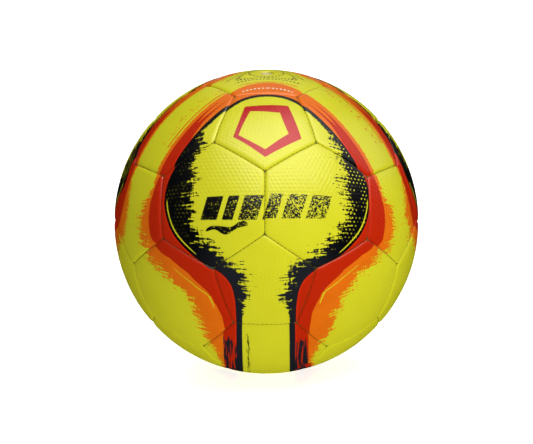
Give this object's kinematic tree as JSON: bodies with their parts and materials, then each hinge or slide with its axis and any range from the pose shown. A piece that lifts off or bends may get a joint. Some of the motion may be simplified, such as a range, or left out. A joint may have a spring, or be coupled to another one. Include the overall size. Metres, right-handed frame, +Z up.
{
  "type": "futsal ball",
  "caption": "Low-bounce stitched futsal ball: glossy coated cover panels over a lining, a bladder with damping fill, and a needle inflation valve.",
  "frame": {"origin": "the ball's centre, which is the middle of its bounding box", "axes": "+Z up the valve's axis, through the middle of the top and bottom hexagons, a three-fold axis of the seam net; -Y to the front, where a vertical seam stands between two pentagons; X across the front"},
  "size_m": [0.1992, 0.1998, 0.1994],
  "materials": {
    "cover": "embossed polyurethane film on foam and cloth, printed in neon yellow with black, red and orange brushed bands, semi-gloss",
    "thread": "waxed polyester thread, yellow, dirt-darkened in the groove",
    "lining": "laminated polyester and cotton cloth, matt off-white",
    "bladder": "butyl rubber, matt black with talc bloom",
    "patch": "vulcanised butyl patch, matt black",
    "fill": "loose white polyester fibre wad",
    "valve_body": "moulded butyl rubber, satin black",
    "valve_plug": "moulded silicone-lubricated rubber plug, satin black"
  },
  "bodies": {
    "root": {"balance_patch": "patch", "bladder": "bladder", "damping_fill": "fill", "hexagon_panel_01": "cover", "hexagon_panel_02": "cover", "hexagon_panel_03": "cover", "hexagon_panel_04": "cover", "hexagon_panel_05": "cover", "hexagon_panel_06": "cover", "hexagon_panel_07": "cover", "hexagon_panel_08": "cover", "hexagon_panel_09": "cover", "hexagon_panel_10": "cover", "hexagon_panel_11": "cover", "hexagon_panel_12": "cover", "hexagon_panel_13": "cover", "hexagon_panel_14": "cover", "hexagon_panel_15": "cover", "hexagon_panel_16": "cover", "hexagon_panel_17": "cover", "hexagon_panel_18": "cover", "hexagon_panel_19": "cover", "hexagon_panel_20": "cover", "lining_carcass": "lining", "pentagon_panel_01": "cover", "pentagon_panel_02": "cover", "pentagon_panel_03": "cover", "pentagon_panel_04": "cover", "pentagon_panel_05": "cover", "pentagon_panel_06": "cover", "pentagon_panel_07": "cover", "pentagon_panel_08": "cover", "pentagon_panel_09": "cover", "pentagon_panel_10": "cover", "pentagon_panel_11": "cover", "pentagon_panel_12": "cover", "seam_thread_01": "thread", "seam_thread_02": "thread", "seam_thread_03": "thread", "seam_thread_04": "thread", "seam_thread_05": "thread", "seam_thread_06": "thread", "seam_thread_07": "thread", "seam_thread_08": "thread", "seam_thread_09": "thread", "seam_thread_10": "thread", "seam_thread_11": "thread", "seam_thread_12": "thread", "valve_body": "valve_body", "valve_patch": "patch", "valve_plug": "valve_plug"}
  },
  "joints": []
}
